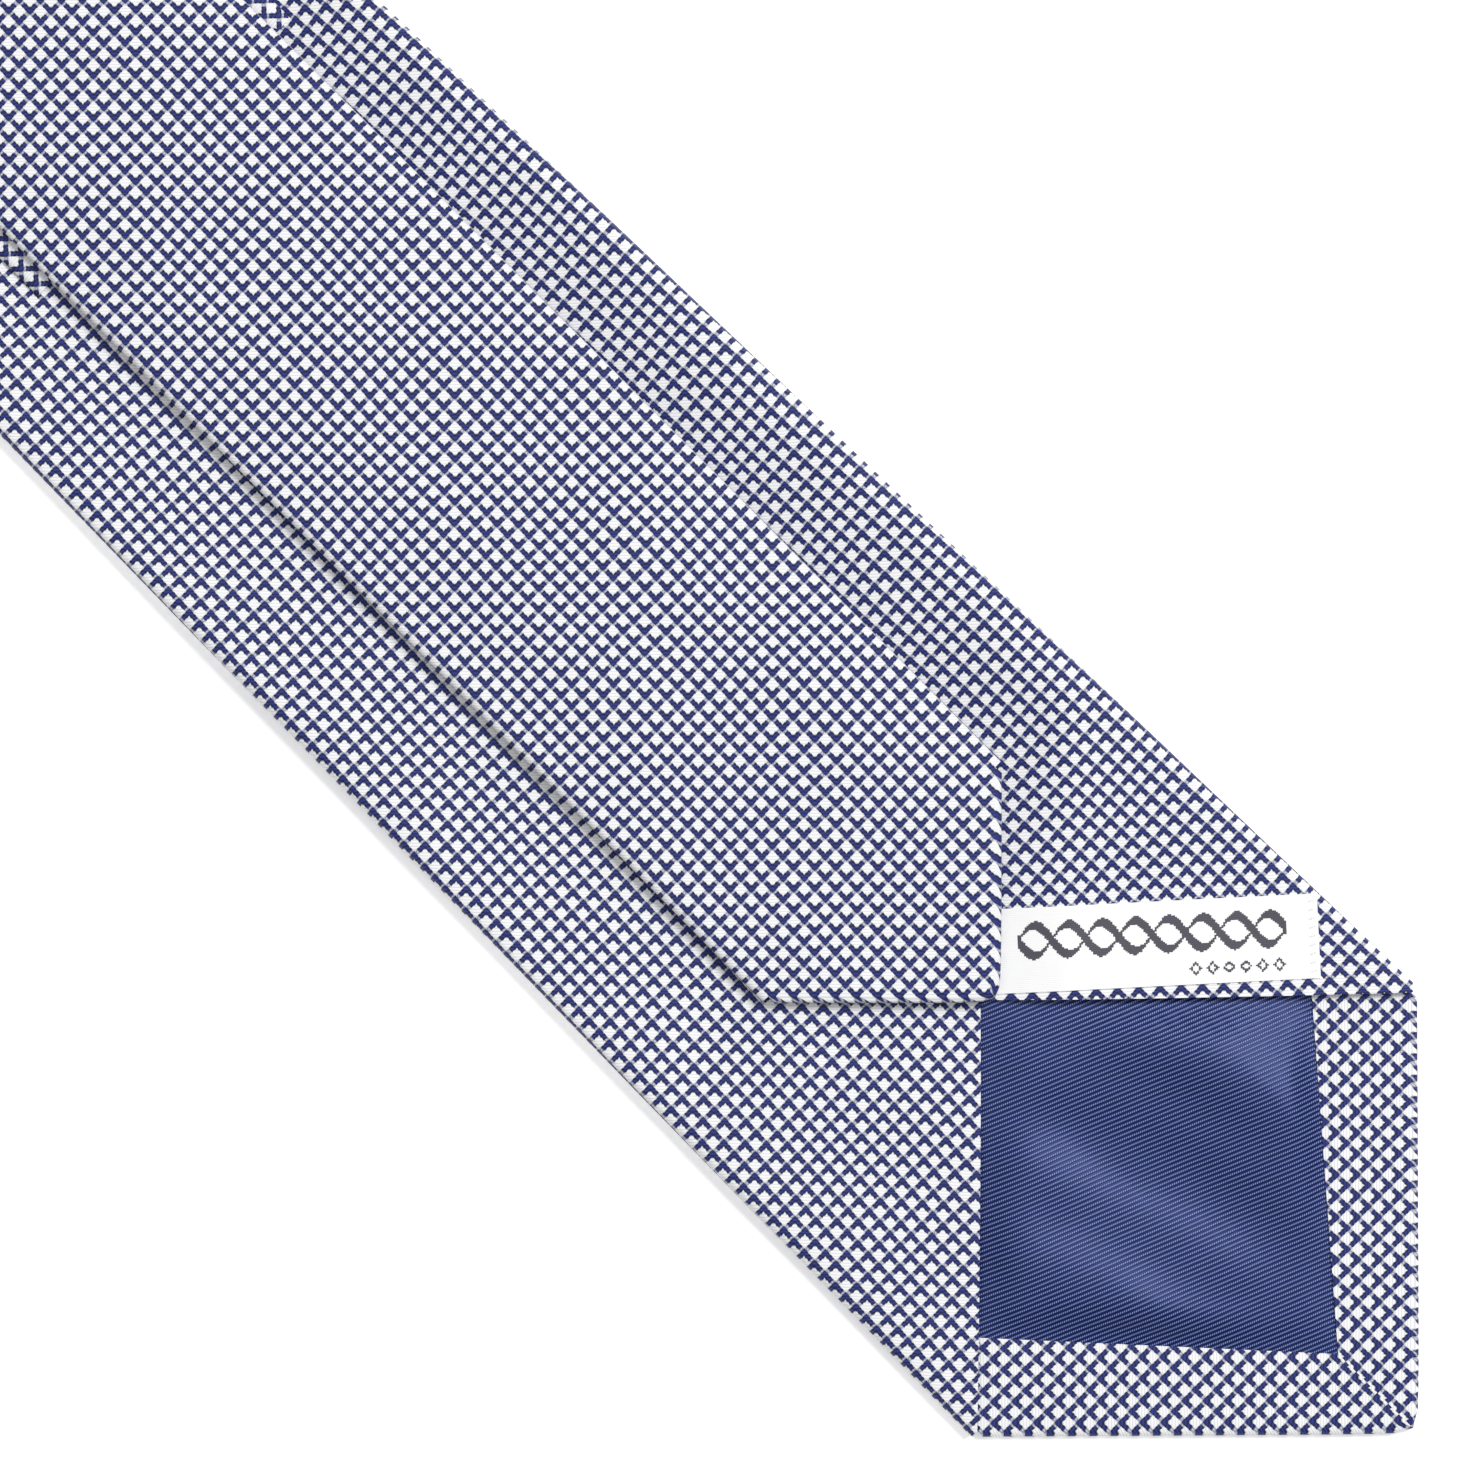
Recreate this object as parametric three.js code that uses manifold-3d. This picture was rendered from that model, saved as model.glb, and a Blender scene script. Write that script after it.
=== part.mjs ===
// A necktie folded in half at the neck. The wide front blade lies face down with its
// seam up, and the narrow tail blade lies face up on top of it.
//
// Each layer of cloth is a solid of its own. The shell cloth is a flat sleeve whose two
// flaps meet along the middle of the back, a wool interlining fills it, a lining and a
// turned-in hem close each tip, and a slip stitch runs between the flaps. The neck is
// three lengths joined by two hinges, so the tail blade swings up and over and the tie
// opens out flat.
//
// Millimetres. +X runs along the tie towards the wide tip, +Y runs across it, +Z is up.
// The origin is under the middle of the folded tie, on the surface that it lies on.

import * as THREE from 'three';
import { mergeVertices } from 'three/addons/utils/BufferGeometryUtils.js';
import Module from 'manifold-3d';

const wasm = await Module();
wasm.setup();

// ---- Driving dimensions: the whole tie ----

const TIE_LENGTH = 1470; // tip to tip along the middle, opened out
const TAIL_SETBACK = 85.5; // the tail's tip stops this far short of the wide tip
const FOLD_HEIGHT = 9.9; // of the bend at the neck, outside
const NECK_WIDTH = 37;
const NECK_ON_FRONT = 158; // neck seam to the fold, on the front blade
const NECK_ON_TAIL = 142; // the same on the tail blade

// ---- Widths of the two blades, each at a distance from its own tip ----

const FRONT_WIDTH = 90; // across the shoulders
const FRONT_LOWER_WIDTH = 81.5;
const FRONT_LOWER_AT = 250;
const FRONT_UPPER_WIDTH = 70;
const FRONT_UPPER_AT = 430;
const FRONT_SEAM_WIDTH = 52; // at the neck seam

const TAIL_WIDTH = 48;
const TAIL_LOWER_WIDTH = 47.4;
const TAIL_LOWER_AT = 170;
const TAIL_UPPER_WIDTH = 43;
const TAIL_UPPER_AT = 320;
const TAIL_SEAM_WIDTH = 38;

// ---- Layers, from the face of the tie to its back ----

const CLOTH = 0.35; // shell cloth
const INTERLINING = 1.1;
const LINING = 0.2;
const LAYER_GAP = 0.1;
const INTERLINING_INSET = 1.15; // from the sleeve's outer edge
const LINING_INSET = 1.3;

// ---- Tips ----

const TIP_RADIUS = 2;
const FRONT_SEAM_END = 87.5; // where the flaps part, from the tip
const FRONT_HEM_AT_TIP = 16.4; // tip to the corner of the lining
const FRONT_LINING_LENGTH = 118;
const TAIL_SEAM_END = 49;
const TAIL_HEM_AT_TIP = 11;
const TAIL_LINING_LENGTH = 76;
const HEM_SLOPE = 1.125; // the hem widens from the tip to the shoulder

// ---- Seams and threads ----

const SEAM_GAP = 0.7; // between the flaps
const NECK_SEAM_GAP = 0.3;
const THREAD = 0.4;
const STITCH_LENGTH = 12;
const STITCH_WAVE = 0.08; // it dips this far and rises as much
const BAR_TACK_LENGTH = 7;
const BAR_TACK_WIDTH = 1.4;
const BAR_TACK_HEIGHT = 0.4;
const BAR_TACK_BEHIND = 12; // behind the point where the flaps part

// ---- Keeper loop and label on the back of the front blade ----

const KEEPER_AT = 259.5; // from the wide tip
const KEEPER_WIDTH = 11;
const KEEPER_THICKNESS = 0.7;
const KEEPER_OVERHANG = 3; // past each edge of the tail
const KEEPER_TACK_INSET = 1.3;
const KEEPER_TACK_WIDTH = 0.9;
const KEEPER_TACK_SHORTER = 2; // than the keeper is wide
const KEEPER_CORNER = 1;
const LABEL_LENGTH = 47.4;
const LABEL_WIDTH = 12;
const LABEL_THICKNESS = 0.25;
const LABEL_MARGIN = 1.85; // from the flap's end
const LABEL_START = 0.5; // from the seam, along the flap's end
const LABEL_STITCH_INSET = 1.2;
const LABEL_STITCH_WIDTH = 0.6;
const LABEL_STITCH_SHORTER = 1; // than the label is wide
const LABEL_CORNER = 0.4;
const SURFACE_GAP = 0.05; // under what is sewn on top of the flaps

// ---- How the tail lies ----

const TAIL_SWAY = 4; // furthest that its middle strays from the front blade's
const SWAY_SPAN = 1.17; // length of half a wave, in tail lengths
const TAIL_CLEARANCE = 0.1; // over the keeper loop
const DESCENT = 170; // length over which it comes down from the fold

// ---- Sizes that follow from those above ----

const INTERLINING_LOW = CLOTH + LAYER_GAP;
const HEM_LOW = INTERLINING_LOW + INTERLINING + LAYER_GAP;
const FLAP_LOW = HEM_LOW + CLOTH + LAYER_GAP;
const STACK = FLAP_LOW + CLOTH;
const TAIL_REST = STACK + SURFACE_GAP + KEEPER_THICKNESS + TAIL_CLEARANCE; // its underside
const FAR = 200; // past anything that a cut has to reach
const STATION_STEP = 25; // between the sections of a swept length
const FOLD_CLEARANCE = 0.12;
const CUT_MARGIN = 5; // left past a line that is then cut
const THREAD_END = 1; // a slip stitch stops this short of its sleeve's end

const BRIDGE_LENGTH = FOLD_HEIGHT - STACK; // between the two hinges
const FRONT_LENGTH = (TIE_LENGTH + TAIL_SETBACK - BRIDGE_LENGTH) / 2; // tip to hinge
const TAIL_LENGTH = (TIE_LENGTH - TAIL_SETBACK - BRIDGE_LENGTH) / 2;
const FRONT_SEAM_AT = FRONT_LENGTH - NECK_ON_FRONT;
const TAIL_SEAM_AT = TAIL_LENGTH - NECK_ON_TAIL;
const SLEEVE_END = STACK / 2 + FOLD_CLEARANCE; // a blade's sleeve stops this short of its hinge

// A rounded point is a little shorter than the sharp one that lengths are taken from.
const TIP_LOSS = TIP_RADIUS * (Math.SQRT2 - 1);
const FRONT_TIP_X = (FRONT_LENGTH + TIP_LOSS + STACK / 2) / 2;
const TAIL_TIP_X = FRONT_TIP_X - TAIL_SETBACK;
const HINGE_X = FRONT_TIP_X - FRONT_LENGTH;

// ---- Where each length of the tie lies ----
// A length is modelled face down from its own tip at x = 0, running towards -X. place()
// moves a point of it to where it lies in the folded tie, and placeLevel() does the same
// for what is small or only cuts, without following the tail up to the fold.

function tailSway(x) {
  return TAIL_SWAY * Math.sin((Math.PI * (x - HINGE_X)) / (SWAY_SPAN * TAIL_LENGTH));
}

function tailRise(x) {
  const down = THREE.MathUtils.smoothstep(x - HINGE_X, 0, DESCENT);
  return THREE.MathUtils.lerp(FOLD_HEIGHT - STACK, TAIL_REST, down);
}

function placeOnFront(p) {
  return p.set(FRONT_TIP_X + p.x, p.y, p.z);
}

function placeOnTail(p, rise) {
  const x = TAIL_TIP_X + p.x;
  return p.set(x, tailSway(x) - p.y, rise(x) + STACK - p.z);
}

const front = {
  widths: [
    [FRONT_WIDTH / 2, FRONT_WIDTH],
    [FRONT_LOWER_AT, FRONT_LOWER_WIDTH],
    [FRONT_UPPER_AT, FRONT_UPPER_WIDTH],
    [FRONT_SEAM_AT, FRONT_SEAM_WIDTH],
    [FRONT_LENGTH, NECK_WIDTH],
  ],
  place: placeOnFront,
  placeLevel: placeOnFront,
};

const tail = {
  widths: [
    [TAIL_WIDTH / 2, TAIL_WIDTH],
    [TAIL_LOWER_AT, TAIL_LOWER_WIDTH],
    [TAIL_UPPER_AT, TAIL_UPPER_WIDTH],
    [TAIL_SEAM_AT, TAIL_SEAM_WIDTH],
    [TAIL_LENGTH, NECK_WIDTH],
  ],
  place: (p) => placeOnTail(p, tailRise),
  placeLevel: (p) => placeOnTail(p, () => TAIL_REST),
};

// The bridge runs up from the lower hinge, with its face to the outside of the bend.
const bridge = {
  widths: [[0, NECK_WIDTH]],
  place: (p) => p.set(HINGE_X - STACK / 2 + p.z, p.y, STACK / 2 - p.x),
};

// Half the width of a length of the tie, at a distance from its tip.
function halfWidth(part, fromTip) {
  const { widths } = part;
  const next = widths.findIndex(([at]) => at >= fromTip);
  if (next === 0) return widths[0][1] / 2;
  if (next < 0) return widths.at(-1)[1] / 2;
  const [lowAt, low] = widths[next - 1];
  const [highAt, high] = widths[next];
  return THREE.MathUtils.mapLinear(fromTip, lowAt, highAt, low, high) / 2;
}

// ---- Solids ----

function placed(geometry, place) {
  const position = geometry.getAttribute('position');
  const point = new THREE.Vector3();
  for (let i = 0; i < position.count; i++) {
    point.fromBufferAttribute(position, i);
    place(point);
    position.setXYZ(i, point.x, point.y, point.z);
  }
  return geometry;
}

function toSolid(geometry) {
  geometry.deleteAttribute('normal');
  geometry.deleteAttribute('uv');
  const merged = mergeVertices(geometry, 1e-4);
  return new wasm.Manifold(
    new wasm.Mesh({
      numProp: 3,
      vertProperties: merged.attributes.position.array,
      triVerts: new Uint32Array(merged.index.array),
    }),
  );
}

function toGeometry(solid) {
  const { vertProperties, triVerts } = solid.getMesh();
  const geometry = new THREE.BufferGeometry();
  geometry.setAttribute('position', new THREE.BufferAttribute(vertProperties, 3));
  geometry.setIndex(new THREE.BufferAttribute(triVerts, 1));
  return geometry;
}

// An outline in plan, raised from one height to another.
function slab(outline, low, high, part) {
  const geometry = new THREE.ExtrudeGeometry(outline, {
    depth: high - low,
    bevelEnabled: false,
    curveSegments: 3,
  });
  geometry.translate(0, 0, low);
  return toSolid(placed(geometry, part.placeLevel));
}

// The distances from the tip at which a section is drawn again, deepest first. Every
// layer of a part shares them, so that no layer crosses another between them.
function stations(part, from, to) {
  const all = new Set([from, to, ...part.widths.map(([at]) => at)]);
  for (let at = STATION_STEP; at < to; at += STATION_STEP) all.add(at);
  return [...all].filter((at) => at >= from && at <= to).sort((a, b) => b - a);
}

// A section drawn across the tie, carried along it from one distance to another. Its
// outer half keeps its distance from the edge as the tie tapers.
function lengthOf(part, section, from, to) {
  const at = stations(part, from, to);
  const steps = at.length - 1;
  const reference = halfWidth(part, from);
  const geometry = new THREE.ExtrudeGeometry(section(reference), {
    depth: steps,
    steps,
    bevelEnabled: false,
    curveSegments: 2,
  });
  return toSolid(
    placed(geometry, (p) => {
      const fromTip = at[Math.round(p.z)];
      const spread = halfWidth(part, fromTip) - reference;
      const side = Math.abs(p.x) > reference / 2 ? Math.sign(p.x) : 0;
      p.set(-fromTip, p.x + side * spread, p.y);
      part.place(p);
    }),
  );
}

// ---- Sections ----

// The folded shell cloth: face below, a rounded fold at each edge, two flaps on top.
function sleeveSection(half) {
  const radius = STACK / 2;
  const middle = half - radius;
  const quarter = Math.PI / 2;
  const section = new THREE.Shape();
  section.moveTo(-SEAM_GAP / 2, STACK);
  section.lineTo(-middle, STACK);
  section.absarc(-middle, radius, radius, quarter, 3 * quarter, false);
  section.lineTo(middle, 0);
  section.absarc(middle, radius, radius, -quarter, quarter, false);
  section.lineTo(SEAM_GAP / 2, STACK);
  section.lineTo(SEAM_GAP / 2, FLAP_LOW);
  section.lineTo(middle, FLAP_LOW);
  section.absarc(middle, radius, radius - CLOTH, quarter, -quarter, true);
  section.lineTo(-middle, CLOTH);
  section.absarc(-middle, radius, radius - CLOTH, 3 * quarter, quarter, true);
  section.lineTo(-SEAM_GAP / 2, FLAP_LOW);
  return section;
}

function interliningSection(half) {
  const edge = half - INTERLINING_INSET;
  const top = INTERLINING_LOW + INTERLINING;
  const section = new THREE.Shape();
  section.moveTo(-edge, INTERLINING_LOW);
  section.lineTo(edge, INTERLINING_LOW);
  section.lineTo(edge, top);
  section.lineTo(-edge, top);
  return section;
}

// ---- Outlines in plan ----

// All that lies behind a point. Its sides fall back by slope for each unit across.
function pointOutline(apex, slope, radius = 0) {
  const outline = new THREE.Shape();
  if (radius > 0) {
    const centre = apex - radius * Math.SQRT2;
    outline.absarc(centre, 0, radius, -Math.PI / 4, Math.PI / 4, false);
  } else {
    outline.moveTo(apex, 0);
  }
  outline.lineTo(apex - slope * FAR, FAR);
  outline.lineTo(-TIE_LENGTH, FAR);
  outline.lineTo(-TIE_LENGTH, -FAR);
  outline.lineTo(apex - slope * FAR, -FAR);
  return outline;
}

// All that lies ahead of the flaps' ends, which run from the seam to the shoulders.
function flapOpening(seamEnd, shoulder) {
  const slope = (seamEnd - shoulder) / shoulder;
  const outline = new THREE.Shape();
  outline.moveTo(-seamEnd, 0);
  outline.lineTo(-seamEnd + slope * FAR, -FAR);
  outline.lineTo(FAR + slope * FAR, -FAR);
  outline.lineTo(FAR + slope * FAR, FAR);
  outline.lineTo(-seamEnd + slope * FAR, FAR);
  return outline;
}

// All that lies on one side of a seam that crosses the tie on the bias.
function biasOutline(seamAt, towardsTip) {
  const end = towardsTip ? FAR : -TIE_LENGTH;
  const edge = -seamAt + (towardsTip ? 1 : -1) * (NECK_SEAM_GAP / 2) * Math.SQRT2;
  const corners = [[edge - FAR, -FAR], [end, -FAR], [end, FAR], [edge + FAR, FAR]];
  if (!towardsTip) corners.reverse();
  return new THREE.Shape(corners.map(([x, y]) => new THREE.Vector2(x, y)));
}

function rectangle(lowX, highX, lowY, highY) {
  const outline = new THREE.Shape();
  outline.moveTo(lowX, lowY);
  outline.lineTo(highX, lowY);
  outline.lineTo(highX, highY);
  outline.lineTo(lowX, highY);
  return outline;
}

// ---- Pieces of cloth ----

// The cloth turned up over a tip's edges and in over the interlining.
function hem(part, hemAtTip) {
  const shoulder = part.widths[0][0];
  const edge = pointOutline(0, 1, TIP_RADIUS);
  const top = HEM_LOW + CLOTH;
  const inside = pointOutline(-CLOTH * Math.SQRT2, 1, TIP_RADIUS - CLOTH);
  const wall = slab(edge, 0, top, part)
    .subtract(slab(inside, -FAR, FAR, part))
    .intersect(slab(rectangle(-shoulder - CUT_MARGIN, CUT_MARGIN, -shoulder, shoulder), -FAR, FAR, part));
  const reach = hemAtTip + HEM_SLOPE * shoulder;
  const side = halfWidth(part, reach) - INTERLINING_INSET;
  const turned = slab(edge, HEM_LOW, top, part)
    .subtract(slab(pointOutline(-hemAtTip, HEM_SLOPE), -FAR, FAR, part))
    .intersect(slab(rectangle(-reach, CUT_MARGIN, -side, side), -FAR, FAR, part));
  return wall.add(turned);
}

// One blade of shell cloth, from its tip to its neck seam.
function bladeShell(part, seamAt, seamEnd, hemAtTip) {
  const shoulder = part.widths[0][0];
  const beyondSeam = seamAt + halfWidth(part, seamAt) + CUT_MARGIN;
  return lengthOf(part, sleeveSection, 0, beyondSeam)
    .subtract(slab(flapOpening(seamEnd, shoulder), CLOTH, FAR, part))
    .intersect(slab(pointOutline(0, 1, TIP_RADIUS), -FAR, FAR, part))
    .intersect(slab(biasOutline(seamAt, true), -FAR, FAR, part))
    .add(hem(part, hemAtTip));
}

// The neck's shell cloth on one blade, from its bias seam to the fold.
function neckShell(part, seamAt, length) {
  const aheadOfSeam = seamAt - halfWidth(part, seamAt) - CUT_MARGIN;
  return lengthOf(part, sleeveSection, aheadOfSeam, length - SLEEVE_END).intersect(
    slab(biasOutline(seamAt, false), -FAR, FAR, part),
  );
}

function bladeInterlining(part, length) {
  const apex = -INTERLINING_INSET * Math.SQRT2;
  return lengthOf(part, interliningSection, 0, length - SLEEVE_END).intersect(
    slab(pointOutline(apex, 1, TIP_RADIUS), -FAR, FAR, part),
  );
}

// The lining of a tip, from the hem's inner edge to deep under the flaps.
function tipLining(part, hemAtTip, length) {
  const side = halfWidth(part, length) - LINING_INSET;
  const high = HEM_LOW + LINING;
  return slab(pointOutline(-hemAtTip - LAYER_GAP * 2, HEM_SLOPE), HEM_LOW, high, part).intersect(
    slab(rectangle(-length, 0, -side, side), -FAR, FAR, part),
  );
}

function bridgeLength(section) {
  return lengthOf(bridge, section, LAYER_GAP, BRIDGE_LENGTH - LAYER_GAP);
}

// ---- Threads and sewn-on pieces ----

// The slip stitch that dips in and out between the flaps.
function slipStitch(part, from, to) {
  const stitches = Math.round((to - from) / STITCH_LENGTH);
  const height = STACK - THREAD / 2 - STITCH_WAVE;
  const points = [];
  for (let i = 0; i <= stitches; i++) {
    const x = -THREE.MathUtils.lerp(to, from, i / stitches);
    points.push(new THREE.Vector3(x, 0, height + STITCH_WAVE * (i % 2 ? 1 : -1)));
  }
  const round = new THREE.Shape().absarc(0, 0, THREAD / 2, 0, 2 * Math.PI, false);
  const geometry = new THREE.ExtrudeGeometry(round, {
    extrudePath: new THREE.CatmullRomCurve3(points),
    steps: stitches * 2,
    curveSegments: 3,
  });
  return toSolid(placed(geometry, part.place));
}

// A bar of close stitches, lying on the flaps.
function stitchBar(length, width, height) {
  const half = (length - width) / 2;
  const outline = new THREE.Shape();
  outline.absarc(half, 0, width / 2, -Math.PI / 2, Math.PI / 2, false);
  outline.absarc(-half, 0, width / 2, Math.PI / 2, (3 * Math.PI) / 2, false);
  const settings = { depth: height, bevelEnabled: false, curveSegments: 3 };
  return new THREE.ExtrudeGeometry(outline, settings);
}

function seamBarTack(part, at) {
  const bar = stitchBar(BAR_TACK_LENGTH, BAR_TACK_WIDTH, BAR_TACK_HEIGHT);
  bar.rotateZ(Math.PI / 2);
  bar.translate(-at, 0, STACK + SURFACE_GAP);
  return toSolid(placed(bar, part.place));
}

// A strip of cloth with rounded corners, centred on its own origin.
function strip(length, width, thickness, corner) {
  const x = length / 2 - corner;
  const y = width / 2 - corner;
  const outline = new THREE.Shape();
  outline.absarc(x, -y, corner, -Math.PI / 2, 0, false);
  outline.absarc(x, y, corner, 0, Math.PI / 2, false);
  outline.absarc(-x, y, corner, Math.PI / 2, Math.PI, false);
  outline.absarc(-x, -y, corner, Math.PI, (3 * Math.PI) / 2, false);
  const settings = { depth: thickness, bevelEnabled: false, curveSegments: 2 };
  return new THREE.ExtrudeGeometry(outline, settings);
}

// ---- Finishes ----

function cloth(color, roughness) {
  return new THREE.MeshStandardMaterial({ color, roughness, metalness: 0 });
}

const wovenSilk = cloth('#a7a9ba', 0.6);
const liningTwill = cloth('#2c3a72', 0.55);
const wool = cloth('#e4dfd2', 0.95);
const satin = cloth('#f3f2ec', 0.4);
const navyThread = cloth('#2b3160', 0.7);
const whiteThread = cloth('#eeeeea', 0.7);

// ---- Assembly ----

const tie = new THREE.Group();

function addMesh(parent, name, geometry, material) {
  const mesh = new THREE.Mesh(geometry, material);
  mesh.name = name;
  parent.add(mesh);
  return mesh;
}

function addSolid(name, solid, material) {
  return addMesh(tie, name, toGeometry(solid), material);
}

function addBlades() {
  const frontShell = bladeShell(front, FRONT_SEAM_AT, FRONT_SEAM_END, FRONT_HEM_AT_TIP);
  const tailShell = bladeShell(tail, TAIL_SEAM_AT, TAIL_SEAM_END, TAIL_HEM_AT_TIP);
  addSolid('front_blade_shell', frontShell, wovenSilk);
  addSolid('tail_blade_shell', tailShell, wovenSilk);
  addSolid('front_interlining', bladeInterlining(front, FRONT_LENGTH), wool);
  addSolid('tail_interlining', bladeInterlining(tail, TAIL_LENGTH), wool);
  addSolid('front_tipping', tipLining(front, FRONT_HEM_AT_TIP, FRONT_LINING_LENGTH), liningTwill);
  addSolid('tail_tipping', tipLining(tail, TAIL_HEM_AT_TIP, TAIL_LINING_LENGTH), liningTwill);
}

function addNeck() {
  addSolid('neck_gusset_front', neckShell(front, FRONT_SEAM_AT, FRONT_LENGTH), wovenSilk);
  addSolid('neck_gusset_fold', bridgeLength(sleeveSection), wovenSilk);
  addSolid('neck_gusset_tail', neckShell(tail, TAIL_SEAM_AT, TAIL_LENGTH), wovenSilk);
  addSolid('neck_interlining', bridgeLength(interliningSection), wool);
}

function addThreads() {
  const frontTack = FRONT_SEAM_END + BAR_TACK_BEHIND;
  const tailTack = TAIL_SEAM_END + BAR_TACK_BEHIND;
  const frontEnd = FRONT_LENGTH - SLEEVE_END - THREAD_END;
  const tailEnd = TAIL_LENGTH - SLEEVE_END - THREAD_END;
  addSolid('front_slip_stitch', slipStitch(front, frontTack, frontEnd), navyThread);
  addSolid('tail_slip_stitch', slipStitch(tail, tailTack, tailEnd), navyThread);
  addSolid('front_bar_tack', seamBarTack(front, frontTack), navyThread);
  addSolid('tail_bar_tack', seamBarTack(tail, tailTack), navyThread);
}

// The loop lies across the back under the tail, and is tacked down at both ends.
function addKeeper() {
  const group = new THREE.Group();
  const x = FRONT_TIP_X - KEEPER_AT;
  const tailHalf = halfWidth(tail, KEEPER_AT - TAIL_SETBACK);
  const length = 2 * (tailHalf + KEEPER_OVERHANG);
  group.position.set(x, tailSway(x), STACK + SURFACE_GAP);
  const loop = strip(KEEPER_WIDTH, length, KEEPER_THICKNESS, KEEPER_CORNER);
  addMesh(group, 'keeper_loop', loop, wovenSilk);
  for (const [name, side] of [['keeper_tack_left', -1], ['keeper_tack_right', 1]]) {
    const bar = stitchBar(KEEPER_WIDTH - KEEPER_TACK_SHORTER, KEEPER_TACK_WIDTH, THREAD);
    const tack = addMesh(group, name, bar, navyThread);
    const y = side * (length / 2 - KEEPER_TACK_INSET);
    tack.position.set(0, y, KEEPER_THICKNESS + SURFACE_GAP);
  }
  tie.add(group);
}

// The label lies on the right flap, along the flap's end.
function addLabel() {
  const shoulder = FRONT_WIDTH / 2;
  const slope = Math.atan2(shoulder, FRONT_SEAM_END - shoulder);
  const group = new THREE.Group();
  group.position.set(FRONT_TIP_X - FRONT_SEAM_END, 0, STACK + SURFACE_GAP);
  group.rotation.z = slope;
  const x = LABEL_START + LABEL_LENGTH / 2;
  const y = LABEL_MARGIN + LABEL_WIDTH / 2;
  const tab = strip(LABEL_LENGTH, LABEL_WIDTH, LABEL_THICKNESS, LABEL_CORNER);
  const label = addMesh(group, 'label', tab, satin);
  label.position.set(x, y, 0);
  for (const [name, side] of [['label_stitch_left', -1], ['label_stitch_right', 1]]) {
    const bar = stitchBar(LABEL_WIDTH - LABEL_STITCH_SHORTER, LABEL_STITCH_WIDTH, THREAD / 2);
    const stitch = addMesh(group, name, bar, whiteThread);
    stitch.rotation.z = Math.PI / 2;
    const offset = side * (LABEL_LENGTH / 2 - LABEL_STITCH_INSET);
    stitch.position.set(x + offset, y, LABEL_THICKNESS + SURFACE_GAP);
  }
  tie.add(group);
}

addBlades();
addNeck();
addThreads();
addKeeper();
addLabel();

export default tie;
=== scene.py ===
"""A silk necktie folded once at the neck and lying face down: the wide blade's lined back below, and the
narrow tail on top of it. Lengths are written in millimetres and become metres where a mesh is made. s is the
distance back from a blade's tip, y runs across it, and h is the height above the cloth's outer face."""

import math

import bmesh
import bpy
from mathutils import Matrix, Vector, noise


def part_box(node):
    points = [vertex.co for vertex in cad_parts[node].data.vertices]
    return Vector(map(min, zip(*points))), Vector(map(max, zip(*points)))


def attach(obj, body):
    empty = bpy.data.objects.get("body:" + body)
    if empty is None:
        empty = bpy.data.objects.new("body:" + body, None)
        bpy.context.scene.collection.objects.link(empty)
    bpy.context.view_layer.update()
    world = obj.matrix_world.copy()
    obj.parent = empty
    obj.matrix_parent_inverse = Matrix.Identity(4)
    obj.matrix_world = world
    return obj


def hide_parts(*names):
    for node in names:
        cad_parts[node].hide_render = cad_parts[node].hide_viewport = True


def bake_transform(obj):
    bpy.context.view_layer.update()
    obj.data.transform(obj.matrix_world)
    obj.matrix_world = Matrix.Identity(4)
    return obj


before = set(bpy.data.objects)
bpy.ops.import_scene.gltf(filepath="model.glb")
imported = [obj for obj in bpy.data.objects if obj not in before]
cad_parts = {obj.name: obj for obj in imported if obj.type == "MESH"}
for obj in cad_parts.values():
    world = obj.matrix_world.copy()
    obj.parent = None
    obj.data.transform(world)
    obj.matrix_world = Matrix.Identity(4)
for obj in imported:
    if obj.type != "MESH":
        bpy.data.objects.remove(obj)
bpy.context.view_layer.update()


MM = 0.001

# ---- the tie's sizes -------------------------------------------------------------------------------------
TIP_ROUNDING = 0.83  # how far a tip stops short of the point where its two edges would meet
FRONT_TIP_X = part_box("front_blade_shell")[1].x / MM + TIP_ROUNDING
TAIL_TIP_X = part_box("tail_blade_shell")[1].x / MM + TIP_ROUNDING
HINGE_X = (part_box("neck_gusset_fold")[0].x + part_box("neck_gusset_fold")[1].x) / 2 / MM
FRONT_LENGTH = FRONT_TIP_X - HINGE_X
TAIL_LENGTH = TAIL_TIP_X - HINGE_X
FRONT_SEAM_AT = 616.025  # where the neck is sewn on, back from each tip
TAIL_SEAM_AT = 546.525
NECK_WIDTH = 37
# each blade's width at places along it, from its shoulder to the fold
FRONT_WIDTHS = [(45, 90), (250, 81.5), (430, 70), (FRONT_SEAM_AT, 52), (FRONT_LENGTH, NECK_WIDTH)]
TAIL_WIDTHS = [(24, 48), (170, 47.4), (320, 43), (TAIL_SEAM_AT, 38), (TAIL_LENGTH, NECK_WIDTH)]
NECK_REACH = 30  # how far the bending part of the neck reaches from the fold
FRONT_FOLD_AT = FRONT_LENGTH - NECK_REACH
TAIL_FOLD_AT = TAIL_LENGTH - NECK_REACH
SEAM_GROOVE = 0.15  # the gap that shows as a seam
FOLD_HEIGHT = 9.9  # how high the tie stands at the fold
CORNER = 3.0  # the radius of the fold's two corners
STACK = 2.45  # a pressed blade's thickness
TAIL_REST = 3.3  # the height of the tail's underside once it has come down from the fold
TAIL_DESCENT = 170  # how far from the fold it comes down
TAIL_SWAY = 4  # how far the tail bows to one side
KEEPER_AT = 259.5  # the keeper's middle, back from the front's tip
KEEPER_WIDTH = 11
KEEPER_ROUNDING = 0.2  # lost from the width at each rolled edge
KEEPER_SLANT = 0.045
KEEPER_MIDDLE_H = STACK + 0.46
LABEL_LENGTH = 47.4
LABEL_HEIGHT = 12.0
FLAP_END_SLOPE = 0.94  # the flaps' ends run towards the tip by this much for each millimetre outwards
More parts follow.
